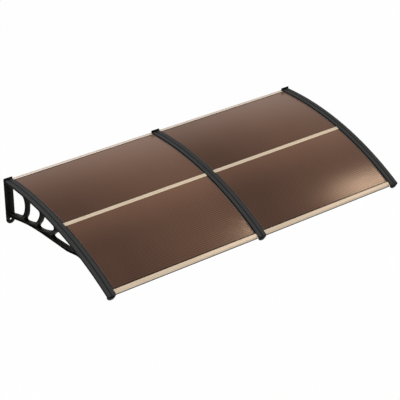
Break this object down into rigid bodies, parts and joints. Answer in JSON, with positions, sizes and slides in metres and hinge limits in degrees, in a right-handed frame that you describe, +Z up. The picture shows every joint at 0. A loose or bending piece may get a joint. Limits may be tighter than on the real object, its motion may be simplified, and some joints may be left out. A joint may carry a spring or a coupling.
{
  "type": "polycarbonate patio awning",
  "caption": "Wall-mounted patio awning: arched bronze twin-wall sheets on black moulded cantilever brackets, with cover strips, seals and pale aluminium edge profiles.",
  "frame": {"origin": "on the back of the middle bracket's wall plate, level with the sheets' top surface at the wall", "axes": "+X along the wall to the right as seen from in front, +Y into the wall, +Z up; the awning reaches out along -Y"},
  "size_m": [1.9938, 0.9686, 0.2889],
  "materials": {
    "moulding": "satin moulded black plastic",
    "strip": "satin dark grey plastic",
    "sheet": "glossy bronze polycarbonate",
    "aluminium": "satin champagne anodised",
    "seal": "soft brown seal",
    "screw": "plain zinc plated"
  },
  "bodies": {
    "root": {"left_bracket": "moulding", "left_cover_strip": "strip", "left_strip_screw_1": "screw", "left_strip_screw_2": "screw", "left_strip_screw_3": "screw", "left_strip_screw_4": "screw", "left_strip_screw_5": "screw", "middle_bracket": "moulding", "middle_cover_strip": "strip", "middle_strip_screw_1": "screw", "middle_strip_screw_2": "screw", "middle_strip_screw_3": "screw", "middle_strip_screw_4": "screw", "middle_strip_screw_5": "screw", "right_bracket": "moulding", "right_cover_strip": "strip", "right_strip_screw_1": "screw", "right_strip_screw_2": "screw", "right_strip_screw_3": "screw", "right_strip_screw_4": "screw", "right_strip_screw_5": "screw", "left_bracket_rear_right_seal": "seal", "left_bracket_front_right_seal": "seal", "middle_bracket_rear_left_seal": "seal", "middle_bracket_front_left_seal": "seal", "middle_bracket_rear_right_seal": "seal", "middle_bracket_front_right_seal": "seal", "right_bracket_rear_left_seal": "seal", "right_bracket_front_left_seal": "seal", "left_rear_sheet": "sheet", "left_front_sheet": "sheet", "left_rear_profile": "aluminium", "left_middle_profile": "aluminium", "left_front_profile": "aluminium", "right_rear_sheet": "sheet", "right_front_sheet": "sheet", "right_rear_profile": "aluminium", "right_middle_profile": "aluminium", "right_front_profile": "aluminium"}
  },
  "joints": []
}
